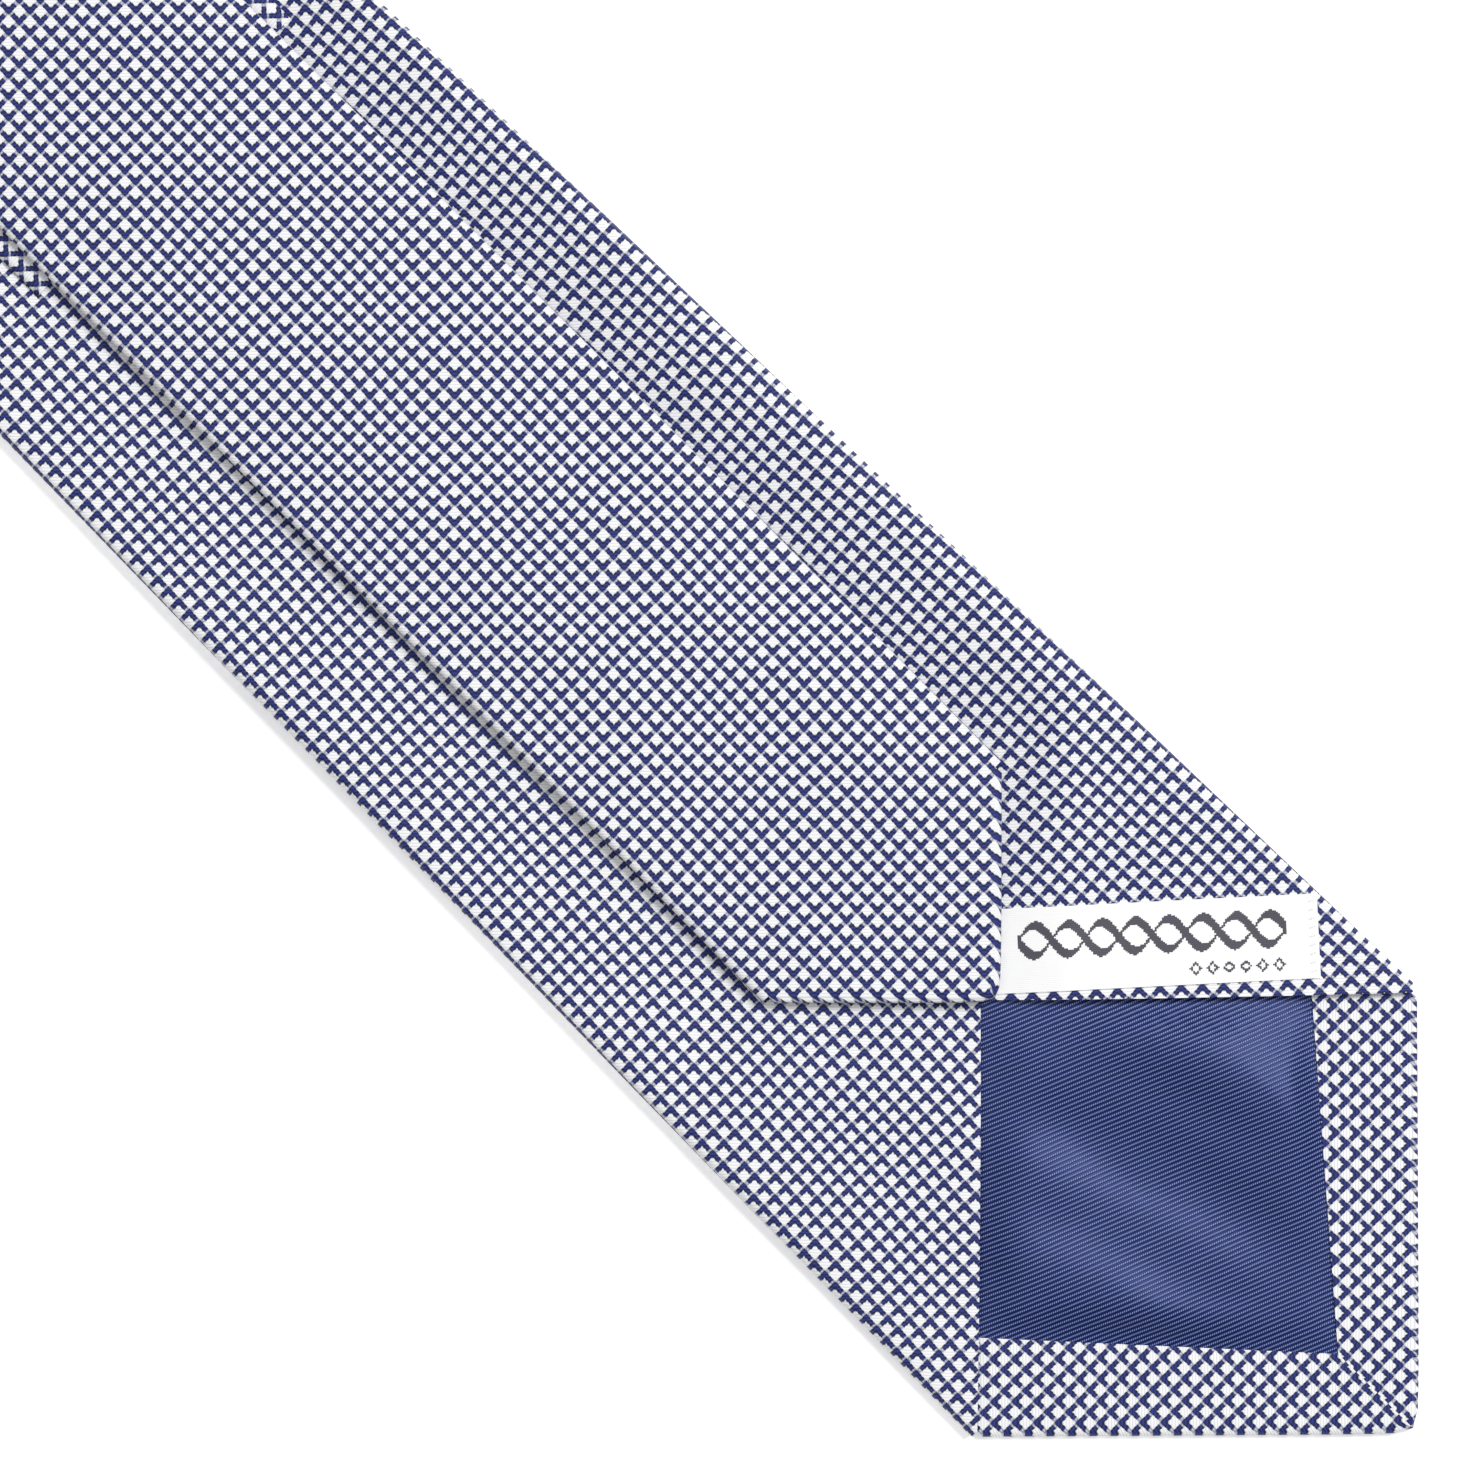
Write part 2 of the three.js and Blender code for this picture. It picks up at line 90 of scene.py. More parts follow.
HEM_NARROWING = 0.94  # the hem's inner edge against its fold
WOOL_INSET = 2.2  # how far the wool stays inside the rolled edges
WOOL_TIP_INSET = 4.5
LINING_INSET = 4  # how far the lining stays inside the rolled edges
LINING_UNDER_HEM = 6  # how far its point reaches under the hems

# ---- cloth thicknesses, and the height of each layer's middle above the face -----------------------------
CLOTH = 0.34
WOOL_THICKNESS = 0.8
LINING_THICKNESS = 0.16
LABEL_THICKNESS = 0.22
FACE_H = 0.175
WOOL_H = 0.88
TIPPING_H = 1.5
HEM_H = 1.83
FLAP_H = 2.275
ROLL = (FLAP_H - FACE_H) / 2
HEM_ROLL = (HEM_H - FACE_H) / 2
HEM_TURN = math.sqrt(2) * (FACE_H + HEM_ROLL)  # from the edge to where the hem starts to turn in

# ---- the weaves ------------------------------------------------------------------------------------------
CELL = 2.13  # one figure of the silk
CELLS_PER_TILE = 8
TILE = CELL * CELLS_PER_TILE
HEM_SLIDE = 0.45 * CELL  # the hem's weave is shifted, so that the mitre cuts through the figure
TAIL_SLIDE = 0.7 * CELL
RIB = 0.62  # one rib of the twill
RIBS_PER_TILE = 8
TWILL_TILE = RIB * RIBS_PER_TILE
RIB_ANGLE = math.atan2(0.925, 0.38)

# ---- soft mounds and dents in the cloth: height, place (s, y), and reach each way ------------------------
FLAP_MOUNDS = [(-0.6, (138, 37), (18, 5)), (0.4, (176, 33), (22, 8))]
CREASE_MOUNDS = [(-0.28, (127, -33), (3.2, 9)), (0.18, (134, -33), (4, 9))]
FACE_HOLLOWS = [(0.42, (28, -3), (9, 8)), (0.42, (52, -3), (10, 9)), (0.2, (104, 8), (16, 8)),
                (-0.22, (40, 12), (12, 7))]


def smooth(low, high, value):
    t = min(1, max(0, (value - low) / (high - low)))
    return t * t * (3 - 2 * t)


def mix(a, b, t):
    return a + (b - a) * t


def steps(first, last, count):
    return [mix(first, last, i / count) for i in range(count + 1)]


def softness(x, y, grain, layer):
    """Gentle unevenness, with hills about as long and wide as the grain."""
    return noise.noise(Vector((x / grain[0], y / grain[1], layer)))


def mounds(shapes, x, y):
    total = 0
    for height, centre, reach in shapes:
        away = ((x - centre[0]) / reach[0]) ** 2 + ((y - centre[1]) / reach[1]) ** 2
        total += height * math.exp(-away)
    return total


def half_width(widths, s):
    """Half the blade's width at s, and how fast it changes."""
    for (s0, w0), (s1, w1) in zip(widths, widths[1:]):
        if s <= s1:
            slope = 0 if s < s0 else (w1 - w0) / (s1 - s0) / 2
            return w0 / 2 + slope * (max(s, s0) - s0), slope
    return widths[-1][1] / 2, 0


# ---- how the cloth lies ----------------------------------------------------------------------------------
def tail_sway(x):
    return TAIL_SWAY * math.sin(math.pi * (x - HINGE_X) / (1.17 * TAIL_LENGTH))


def tail_rise(x):
    return mix(FOLD_HEIGHT - STACK, TAIL_REST, smooth(0, TAIL_DESCENT, x - HINGE_X))


def beside_tail(s, y):
    """How far a place on the front's back lies outside the tail's edge."""
    x = FRONT_TIP_X - s
    back = TAIL_TIP_X - x
    half = min(half_width(TAIL_WIDTHS, back)[0], max(back, -20))
    return abs(y - tail_sway(x)) - half


def front_flap_lift(s, y):
    """The flaps are plump along the rolled edges and pressed down under the tail. The tail lies nearer the
    right side, so the right flap climbs steeply from the tail's edge and the left one slowly."""
    gap = beside_tail(s, y)
    if y > 0:
        climb = mix(min(1, max(0, gap / 13)), smooth(-1, 13, gap), 0.4)
        plump = 3.3 * climb - 0.5 * smooth(12, 20, gap)
    else:
        plump = 1.3 * smooth(2, 22, gap)
    flatter_to_the_neck = mix(0.35, 1, 1 - smooth(170, 420, s))
    flatter_at_the_end = mix(0.35, 1, smooth(62, 108, s + FLAP_END_SLOPE * abs(y) - 42))
    lift = plump * flatter_to_the_neck * flatter_at_the_end
    lift += mounds(FLAP_MOUNDS, s, y) + mounds(CREASE_MOUNDS, s - 0.5 * y, y)
    lift += 0.22 * softness(s, y, (17, 11), 4.2) * smooth(0, 8, gap) + 0.12
    room_under_tail = mix(0.42, 3.4, smooth(0, 5, gap))
    return min(max(lift, -0.12), room_under_tail) * smooth(0, 9, FRONT_FOLD_AT - s)


def tail_face_sink(s, y):
    """The tail's face is a little hollow in places, as soft cloth over wool is."""
    soft = 0.18 * softness(s, y, (24, 15), 9.1) + 0.06 * softness(s, y, (9, 8), 2.6)
    crown = 0.245 * smooth(0.35, 1, abs(y) / 24)
    return (mounds(FACE_HOLLOWS, s, y) - soft + crown) * smooth(0, 12, s)


class Lay:
    """Where one blade lies: its tip, its widths, which way up it is, and the soft shape of its cloth."""

    def __init__(self, name, tip_x, widths, seam_at, seam_slant, flap_end, hem_depth, hem_slopes, up):
        self.name, self.tip_x, self.widths, self.up = name, tip_x, widths, up
        self.shoulder = widths[0][0]
        self.seam_at, self.seam_slant = seam_at, seam_slant
        self.flap_end = flap_end  # where the two flaps first meet
        self.hem_depth = hem_depth  # where the two hems' inner edges meet
        self.hem_slopes = hem_slopes  # how fast each runs back from there

    def point(self, s, y, h):
        x = self.tip_x - s
        if self.up:
            return Vector((x, y + tail_sway(x), tail_rise(x) + STACK - h))
        return Vector((x, y, h))

    def flat_half(self, s):
        """Half the width of the flat cloth between the rolled edges."""
        return half_width(self.widths, s)[0] - FACE_H - ROLL

    def flap_lift(self, s, y):
        return 0.0 if self.up else front_flap_lift(s, y)

    def face_sink(self, s, y):
        return tail_face_sink(s, y) * smooth(0, 20, TAIL_SEAM_AT - s) if self.up else 0.0

    def slanted(self, kind, side, q, s):
        """The neck seams cross the tie on the bias, so the rows near one lean with it."""
        flat = self.flat_half(self.seam_at)
        y = {"face": q * flat, "roll": side * flat, "flap": side * flat * (1 - q)}[kind]
        lean = 1 - smooth(0, 60, abs(s - self.seam_at))
        return s + self.seam_slant * y * lean

    def fabric(self, s, t):
        """The place on the uncut cloth, as a texture coordinate that grows by one with each tile. The weave
        wanders a little, as it does in a soft cloth."""
        s += 0.22 * softness(s, t, (14, 11), 5.5)
        t += 0.22 * softness(s, t, (13, 12), 8.5)
        return (-s / TILE, (t + TAIL_SLIDE) / TILE) if self.up else (s / TILE, t / TILE)


FRONT = Lay("front", FRONT_TIP_X, FRONT_WIDTHS, FRONT_SEAM_AT, seam_slant=-1, flap_end=87.5, hem_depth=16.4,
            hem_slopes={1: 1.146, -1: 1.106}, up=False)
TAIL = Lay("tail", TAIL_TIP_X, TAIL_WIDTHS, TAIL_SEAM_AT, seam_slant=1, flap_end=49, hem_depth=11,
           hem_slopes={1: 1.125, -1: 1.125}, up=True)


# ---- meshes ----------------------------------------------------------------------------------------------
def grid_faces(rows, columns, start=0, flip=False):
    faces = []
    for i in range(rows - 1):
        for j in range(columns - 1):
            a = start + i * columns + j
            quad = (a, a + 1, a + columns + 1, a + columns)
            faces.append(quad[::-1] if flip else quad)
    return faces


def make_piece(name, points, faces, coords, material, uv_name="OFBake"):
    """A mesh from points in millimetres, each with its own texture coordinate."""
    mesh = bpy.data.meshes.new(name)
    mesh.from_pydata([tuple(p * MM) for p in points], [], faces)
    layer = mesh.uv_layers.new(name=uv_name)
    for loop in mesh.loops:
        layer.data[loop.index].uv = coords[loop.vertex_index]
    mesh.materials.append(material)
    mesh.polygons.foreach_set("use_smooth", [True] * len(mesh.polygons))
    piece = bpy.data.objects.new(name, mesh)
    bpy.context.scene.collection.objects.link(piece)
    return piece


def applied(piece):
    """The piece with its modifiers made part of its mesh."""
    bpy.context.view_layer.update()
    shaped = bpy.data.meshes.new_from_object(piece.evaluated_get(bpy.context.evaluated_depsgraph_get()))
    piece.modifiers.clear()
    shaped.set_sharp_from_angle(angle=math.radians(50))
    piece.data = shaped
    return piece


def weld(piece, distance):
    """Joins the piece's strips and turns its faces outwards."""
    welded = bmesh.new()
    welded.from_mesh(piece.data)
    bmesh.ops.remove_doubles(welded, verts=welded.verts, dist=distance * MM)
    bmesh.ops.recalc_face_normals(welded, faces=welded.faces)
    welded.to_mesh(piece.data)
    welded.free()


def cloth_piece(name, points, faces, coords, material, thickness, uv_name="OFBake"):
    """A piece of cloth with its thickness, half to each side, and the area it was cut to."""
    piece = make_piece(name, points, faces, coords, material, uv_name)
    area = 0.999 * sum(face.area for face in piece.data.polygons)
    weld(piece, 0.01)
    solid = piece.modifiers.new("cloth thickness", "SOLIDIFY")
    solid.thickness = thickness * MM
    solid.offset = 0
    return applied(piece), area


def slab(name, rows, thickness, material, place, uv, uv_name="OFBake"):
    """A strip of cloth from rows of (s, y, h) points."""
    points = [place(*p) for row in rows for p in row]
    coords = [uv(*p) for row in rows for p in row]
    faces = grid_faces(len(rows), len(rows[0]))
    return cloth_piece(name, points, faces, coords, material, thickness, uv_name)


# the columns of a blade's wrapped cloth: left flap, left roll, face, right roll, right flap
SECTION = [("flap", -1, q) for q in steps(1, 0, 20)]
SECTION += [("roll", -1, q) for q in steps(1, 0, 8)[1:-1]]
SECTION += [("face", 0, q) for q in steps(-1, 1, 36)]
SECTION += [("roll", 1, q) for q in steps(0, 1, 8)[1:-1]]
SECTION += [("flap", 1, q) for q in steps(0, 1, 20)]


def wrapped_point(lay, kind, side, q, s, place, gap):
    """A point of the wrapped cloth and its place on the uncut cloth. gap is how near a flap comes to the
    middle line."""
    flat = lay.flat_half(s)
    if kind == "face":
        y = q * flat
        return place(s, y, FACE_H + lay.face_sink(s, y)), lay.fabric(s, y)
    if kind == "roll":
        angle = math.pi * q
        y = flat + ROLL * math.sin(angle)
        bottom = FACE_H + lay.face_sink(s, side * flat)
        top = FLAP_H + lay.flap_lift(s, side * flat)
        h = mix(bottom, top, (1 - math.cos(angle)) / 2)
        return place(s, side * y, h), lay.fabric(s, side * (flat + ROLL * angle))
    y = mix(flat, gap, q)
    folded_over = flat - y
    slope = half_width(lay.widths, s)[1]
    h = FLAP_H + lay.flap_lift(s, side * y)
    t = side * (flat + ROLL * math.pi + folded_over)
    return place(s, side * y, h), lay.fabric(s - 2 * folded_over * slope, t)


def rounded(y):
    """The distance from the middle, eased where the two sides of a point meet, so that the end is round."""
    return math.sqrt(y * y + 1.5)


def blade_rows(last):
    """Where the rows of a blade start, close together at the tip."""
    rows, u = [], 0.0
    while u < last - 3:
        rows.append(u)
        u += 1.6 if u < 16 else 2.6 if u < 130 else 6
    return rows + [last]


def wrap(lay, last):
    """The face, the rolled edges and the two flaps of a blade, from its pointed tip to s = last."""
    flat = lay.flat_half(lay.shoulder)
    corner = rounded(flat) + HEM_TURN
    points, coords = [], []
    for u in blade_rows(last):
        ease = 1 - smooth(0, 2.6 * lay.flap_end, u)
        for kind, side, q in SECTION:
            if kind == "face":
                edge = rounded(q * flat) + HEM_TURN
            else:
                edge = mix(corner, lay.flap_end, q) if kind == "flap" else corner
            s = lay.slanted(kind, side, q, u + edge * ease)
            point, place = wrapped_point(lay, kind, side, q, s, lay.point, gap=0.35)
            points.append(point)
            coords.append(place)
    return points, coords


def hem(lay, side):
    """One edge of the tip turned in: rows along it, each from the face round to the hem's inner end."""
    turn, inward = steps(0, 1, 6), steps(0, 1, 8)[1:]
    points, coords = [], []
    for y in steps(0, lay.flat_half(lay.shoulder), 18):
        outer = rounded(y) + HEM_TURN
        for q in turn:
            angle = math.pi * q
            s = outer - math.sqrt(2) * HEM_ROLL * math.sin(angle)
            h = mix(FACE_H + lay.face_sink(s, side * y), HEM_H, (1 - math.cos(angle)) / 2)
            points.append(lay.point(s, side * y, h))
            coords.append(lay.fabric(mix(outer, y + HEM_SLIDE, q), side * mix(y, outer, q)))
        for q in inward:
            across = mix(y, HEM_NARROWING * y, q)
            s = mix(outer, lay.hem_depth + lay.hem_slopes[side] * HEM_NARROWING * y, q)
            tuck = -0.1 * max(smooth(0.93, 1, q), 1 - smooth(0, 1.5, y))
            h = HEM_H + tuck + 0.05 * softness(s, across * side, (9, 9), 1.7)
            points.append(lay.point(s, side * across, h))
            coords.append(lay.fabric(across + HEM_SLIDE, side * s))
    return points, coords, len(turn) + len(inward)


def blade(lay, last):
    """The blade's outer cloth from its pointed tip to s = last, with its hems turned in."""
    points, coords = wrap(lay, last)
    faces = grid_faces(len(points) // len(SECTION), len(SECTION))
    for side in (1, -1):
        hem_points, hem_coords, columns = hem(lay, side)
        faces += grid_faces(len(hem_points) // columns, columns, len(points), flip=side < 0)
        points += hem_points
        coords += hem_coords
    return cloth_piece(lay.name + "_blade", points, faces, coords, SILK, CLOTH)


def tube(lay, name, first, last, place=None, step=5.0):
    """The same wrapped cloth between two places on the blade, without a tip."""
    count = max(2, round((last - first) / step))
    points, coords = [], []
    for s in steps(first, last, count):
        for kind, side, q in SECTION:
            row = s if place else lay.slanted(kind, side, q, s)
            point, at = wrapped_point(lay, kind, side, q, row, place or lay.point, gap=0.15)
            points.append(point)
            coords.append(at)
    return cloth_piece(name, points, grid_faces(count + 1, len(SECTION)), coords, SILK, CLOTH)


# ---- materials -------------------------------------------------------------------------------------------
def colour(code):
    """A colour written as hex, in linear light."""
    parts = [int(code[i : i + 2], 16) / 255 for i in (1, 3, 5)]
    return tuple(c / 12.92 if c <= 0.04045 else ((c + 0.055) / 1.055) ** 2.4 for c in parts) + (1,)


# short names for the kinds of node that need a setting: the sums first
SUMS = {"plus": "ADD", "minus": "SUBTRACT", "times": "MULTIPLY", "over": "DIVIDE", "root": "SQRT",
        "times_plus": "MULTIPLY_ADD", "size": "ABSOLUTE", "larger": "MAXIMUM", "under": "LESS_THAN",
        "above": "GREATER_THAN", "floor": "FLOOR", "fraction": "FRACT", "sine": "SINE", "cosine": "COSINE"}
KINDS = {name: ("ShaderNodeMath", {"operation": operation}) for name, operation in SUMS.items()}
KINDS["ease"] = ("ShaderNodeMapRange", {"interpolation_type": "SMOOTHSTEP"})
KINDS["dye"] = ("ShaderNodeMix", {"data_type": "RGBA"})
KINDS["stripes"] = ("ShaderNodeTexWave", {"bands_direction": "DIAGONAL"})
KINDS["chance"] = ("FunctionNodeRandomValue", {"data_type": "FLOAT"})


def add_node(tree, kind, *values, **named):
    """Adds a node with its settings and links. Each value is a plain one, a socket, or the node whose result
    feeds the input. The values go to the inputs in use, in order, and the named ones by name."""
    node_type, settings = KINDS.get(kind, (kind, {}))
    made = tree.nodes.new(node_type)
    for key, setting in settings.items():
        setattr(made, key, setting)
    inputs = list(zip([socket for socket in made.inputs if socket.enabled], values))
    inputs += [(made.inputs[key.replace("_", " ")], value) for key, value in named.items()]
    for socket, value in inputs:
        if isinstance(value, bpy.types.Node):
            value = next(result for result in value.outputs if result.enabled)
        if isinstance(value, bpy.types.NodeSocket):
            tree.links.new(value, socket)
        else:
            socket.default_value = value
    return made


class Finish:
    """One material's node tree, built a node at a time."""

    def __init__(self, name):
        self.material = bpy.data.materials.new(name)
        self.material.use_nodes = True
        self.material.node_tree.nodes.clear()

    def add(self, kind, *values, **named):
        return add_node(self.material.node_tree, kind, *values, **named)

    def wave(self, angle):
        """A wave between nought and one."""
        return self.add("times_plus", self.add("cosine", angle), 0.5, 0.5)

    def place(self, uv_name):
        """The two texture coordinates of the piece's own map."""
        uv = self.add("ShaderNodeUVMap")
        uv.uv_map = uv_name
        parts = self.add("ShaderNodeSeparateXYZ", uv)
        return parts.outputs[0], parts.outputs[1]

    def surface(self, base, height=None, relief=0.0, **named):
        """The finished material: its colour, its relief in millimetres, and the shader's own values."""
        if height is not None:
            named["Normal"] = self.add("ShaderNodeBump", Height=height, Distance=relief * MM, Strength=1.0)
        shader = self.add("ShaderNodeBsdfPrincipled", Base_Color=base, **named)
        self.add("ShaderNodeOutputMaterial", shader)
        return self.material


THREADS_PER_CELL = 3.5  # coarser than real silk, so that the threads show
ARM_WIDTH = 0.365  # the figure's two arms, in cells
LONG_ARM = 0.86
SHORT_ARM = 0.8
BEAD_RADIUS = 0.1


def woven_silk():
    """White silk with a small navy figure of two arms in every cell. The sheen keeps its shaded folds soft,
    and the fine relief of the threads breaks up the light."""
    f = Finish("woven silk, navy on white")
    u, v = f.place("OFBake")
    a = f.add("times", u, CELLS_PER_TILE)
    b = f.add("times", v, CELLS_PER_TILE)
    thread = f.wave(f.add("times", f.add("minus", a, b), THREADS_PER_CELL * math.tau))
    picks = f.add("times", f.add("plus", a, b), THREADS_PER_CELL * math.tau)
    wobble = f.add("times", f.add("cosine", picks), 0.022)
    along = f.add("minus", 1.0, f.add("fraction", a))
    across = f.add("fraction", b)

    def within(value, low, high):
        """One below low, nought above high, and eased between them."""
        return f.add("minus", 1.0, f.add("ease", value, low, high))

    def away_from(x, y):
        """The distance from a place in the cell."""
        dx = f.add("minus", along, x)
        dy = f.add("minus", across, y)
        return f.add("root", f.add("plus", f.add("times", dx, dx), f.add("times", dy, dy)))

    def arm(length_at, width_at, length):
        """One arm of the figure, and how near its middle line a place in it is."""
        wide = f.add("plus", width_at, wobble)
        near_side = f.add("ease", wide, 0.0, 0.04)
        wide_in = f.add("times", near_side, within(wide, ARM_WIDTH - 0.03, ARM_WIDTH + 0.03))
        inside = f.add("times", within(length_at, length - 0.04, length + 0.04), wide_in)
        off_middle = f.add("size", f.add("minus", wide, ARM_WIDTH / 2))
        return inside, f.add("times", inside, within(off_middle, ARM_WIDTH * 0.1, ARM_WIDTH * 0.46))

    def bead(x, y):
        """A small ring of dark thread at the end of an arm."""
        off_ring = f.add("size", f.add("minus", away_from(x, y), BEAD_RADIUS))
        return within(off_ring, 0.01, 0.05)

    long_arm, long_middle = arm(along, across, LONG_ARM)
    short_arm, short_middle = arm(across, along, SHORT_ARM)
    figure = f.add("larger", long_arm, short_arm)
    middle = f.add("larger", long_middle, short_middle)
    off_diagonal = f.add("size", f.add("minus", across, f.add("minus", 1.0, along)))
    stem = f.add("times", within(off_diagonal, 0.0, 0.05), f.add("ease", along, 0.8, 0.86))
    grey = f.add("larger", f.add("larger", bead(0.9, 0.2), bead(0.2, 0.88)), stem)

    # painted highlight and painted shade: each navy arm is coloured lighter along its middle line and on its
    # thread crowns, and near-black at its edges
    glint = f.add("times", middle, f.add("times_plus", thread, 0.7, 0.3))
    navy = f.add("dye", f.add("ease", glint, 0.0, 0.85), colour("#04072b"), colour("#2a3784"))
    # painted shade: the white is coloured darker in the grooves between threads and lighter on their crowns;
    # next, it turns greyer towards the diamond's corners by the navy arms
    white = f.add("dye", f.add("ease", thread, 0.0, 0.25), colour("#d6d8e0"), colour("#f6f6f7"))
    white = f.add("dye", f.add("ease", away_from(0.7, 0.7), 0.3, 0.52), white, colour("#c3c5d2"))
    white = f.add("dye", f.add("times", grey, 0.6), white, colour("#3c3d50"))
    raised = f.add("times", f.add("ease", figure, 0.0, 1.0), 0.35)
    height = f.add("plus", f.add("times_plus", thread, 0.35, raised), f.add("times", grey, -0.3))
    return f.surface(f.add("dye", figure, white, navy), height, relief=0.07, Roughness=0.62,
                     Specular_IOR_Level=0.28, Sheen_Weight=0.12, Sheen_Roughness=0.45)


def lining_twill():
    """Navy twill lining: slanting ribs, each made of short floats, with a painted highlight on each rib's
    crown and painted shade between the ribs. Its gloss is blue, as the light comes back through dyed thread."""
    f = Finish("navy twill lining")
    u, v = f.place("OFBake")
    across = f.add("times", u, RIBS_PER_TILE)
    along = f.add("times", v, RIBS_PER_TILE)
    rib = f.wave(f.add("times", across, math.tau))
    floats = f.wave(f.add("times", f.add("times_plus", along, 2.0, across), math.tau))
    top = f.add("times", rib, f.add("times_plus", floats, 0.55, 0.45))
    # painted shade in the troughs between the ribs, and a painted highlight on their crowns
    base = f.add("dye", f.add("ease", top, 0.05, 0.5), colour("#0d1740"), colour("#1f3168"))
    base = f.add("dye", f.add("ease", top, 0.5, 0.98), base, colour("#93a2d9"))
    return f.surface(base, top, relief=0.035, Roughness=0.38, Specular_IOR_Level=0.5,
                     Specular_Tint=colour("#a3aeea"))


MOTTLE_SCALE = 900.0  # per metre, so the felted clumps are about a millimetre across


def wool():
    """Undyed wool interlining: matt, with a faint felted mottle."""
    f = Finish("wool interlining")
    where = f.add("ShaderNodeTexCoord").outputs["Object"]
    mottle = f.add("ShaderNodeTexNoise", where, Scale=MOTTLE_SCALE, Detail=3.0)
    base = f.add("dye", mottle, colour("#cfc7b6"), colour("#e9e4d8"))
    return f.surface(base, mottle, relief=0.15, Roughness=0.95, Specular_IOR_Level=0.1)


LABEL_THREAD = 0.27
PLAIT_TURN = 9.5  # the length of one whole wave of a strand
PLAIT_SWING = 2.1
PLAIT_MIDDLE = 1.2
THIN_STRAND, THICK_STRAND = 0.26, 0.95  # half the strand's width where it rises and where it falls
LOZENGE = 2.375
LOZENGE_HALF_HEIGHT = 0.75
LOZENGE_STEEPNESS = 2.6
LOZENGE_LINE = 0.22  # half the outline's width
LOZENGES_MIDDLE = -3.9
LOZENGES_START = 5.0
ORNAMENT_REACH = 19.0


def label_satin():
    """Brilliant white satin label with a plain ornament woven in charcoal: a plait of two strands above a
    short row of lozenges, stepped by the label's own thread."""
    f = Finish("label satin")
    u, v = f.place("Label")

    def by_thread(value, pitch):
        """The value, stepped to whole threads."""
        return f.add("times", f.add("floor", f.add("over", value, pitch)), pitch)

    x = by_thread(u, LABEL_THREAD)
    y = by_thread(v, LABEL_THREAD * 0.8)
    swing = f.add("times", x, math.tau / PLAIT_TURN)

    def strand(phase):
        """One strand of the plait, thin where it rises and thick where it falls."""
        angle = f.add("plus", swing, phase)
        middle = f.add("times_plus", f.add("sine", angle), PLAIT_SWING, PLAIT_MIDDLE)
        change = (THIN_STRAND - THICK_STRAND) / 2
        half = f.add("times_plus", f.add("cosine", angle), change, (THIN_STRAND + THICK_STRAND) / 2)
        return f.add("under", f.add("size", f.add("minus", y, middle)), half)

    plait = f.add("larger", strand(0.0), strand(math.pi))
    row_y = f.add("size", f.add("minus", y, LOZENGES_MIDDLE))
    row_x = f.add("size", f.add("minus", f.add("fraction", f.add("over", x, LOZENGE)), 0.5))
    out = f.add("plus", row_y, f.add("times", row_x, LOZENGE_STEEPNESS))
    outline = f.add("under", f.add("size", f.add("minus", out, LOZENGE_HALF_HEIGHT)), LOZENGE_LINE)
    lozenges = f.add("times", outline, f.add("above", x, LOZENGES_START))
    inside = f.add("under", f.add("size", x), ORNAMENT_REACH)
    ornament = f.add("times", f.add("larger", plait, lozenges), inside)
    # painted sheen: the white satin is coloured a little lighter along each thread's crown
    sheen = f.wave(f.add("times", v, math.tau / LABEL_THREAD))
    white = f.add("dye", sheen, colour("#f3f3f3"), colour("#fbfbfb"))
    height = f.add("plus", f.add("times", sheen, 0.3), ornament)
    return f.surface(f.add("dye", ornament, white, colour("#45434e")), height, relief=0.03, Roughness=0.38,
                     Specular_IOR_Level=0.45, Sheen_Weight=0.1)


TWIST_SCALE = 900.0  # a stripe every 0.7 mm along each axis, coarser than real twist so that it shows


def thread_finish(name, code):
    """Twisted sewing thread: soft, slightly glossy, with the twist showing as a fine stripe."""
    f = Finish(name)
    where = f.add("ShaderNodeTexCoord").outputs["Object"]
    twist = f.add("stripes", where, Scale=TWIST_SCALE).outputs[1]
    return f.surface(colour(code), twist, relief=0.04, Roughness=0.5, Specular_IOR_Level=0.4,
                     Sheen_Weight=0.3)


def paper_white(name):
    """The near-white sweep under the tie, lit from behind so that it holds only the faintest shadow."""
    f = Finish(name)
    return f.surface(colour("#fafafa"), Roughness=0.9, Specular_IOR_Level=0.1,
                     Emission_Color=(1, 1, 1, 1), Emission_Strength=0.3)


SILK = woven_silk()
TWILL = lining_twill()
WOOL = wool()
SATIN = label_satin()
NAVY = thread_finish("navy sewing thread", "#2a3166")
WHITE = thread_finish("white sewing thread", "#ecebe6")


# ---- the blades ------------------------------------------------------------------------------------------
def finish_piece(piece, nodes=(), body=None, bend=None):
    """Ties the piece to the body that moves it, or, for a piece in the bend, bakes its place into its mesh;
    and hides the solids it stands for.
    """
    if bend:
        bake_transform(piece)
    else:
        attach(piece, body)
    if nodes:
        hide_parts(*nodes)


def declare(piece, area, length, width, rests_on=(), held="folded"):
    """Caps the piece's area at the size it was cut to; the result is not kept."""
    area = min(area, 0.999 * width * length * MM * MM)


front_blade, front_area = blade(FRONT, FRONT_SEAM_AT - SEAM_GROOVE)
finish_piece(front_blade, ["front_blade_shell"], "front")
declare(front_blade, front_area, 665, 190)

tail_blade, tail_area = blade(TAIL, TAIL_SEAM_AT - SEAM_GROOVE)
finish_piece(tail_blade, ["tail_blade_shell"], "tail")
declare(tail_blade, tail_area, 580, 106, rests_on=["front_blade", "keeper"])

front_neck, front_neck_area = tube(FRONT, "front_neck", FRONT_SEAM_AT, FRONT_FOLD_AT)
finish_piece(front_neck, ["neck_gusset_front"], "front")
declare(front_neck, front_neck_area, 128, 112)

tail_neck, tail_neck_area = tube(TAIL, "tail_neck", TAIL_SEAM_AT, TAIL_FOLD_AT)
finish_piece(tail_neck, ["neck_gusset_tail"], "tail")
declare(tail_neck, tail_neck_area, 112, 86)


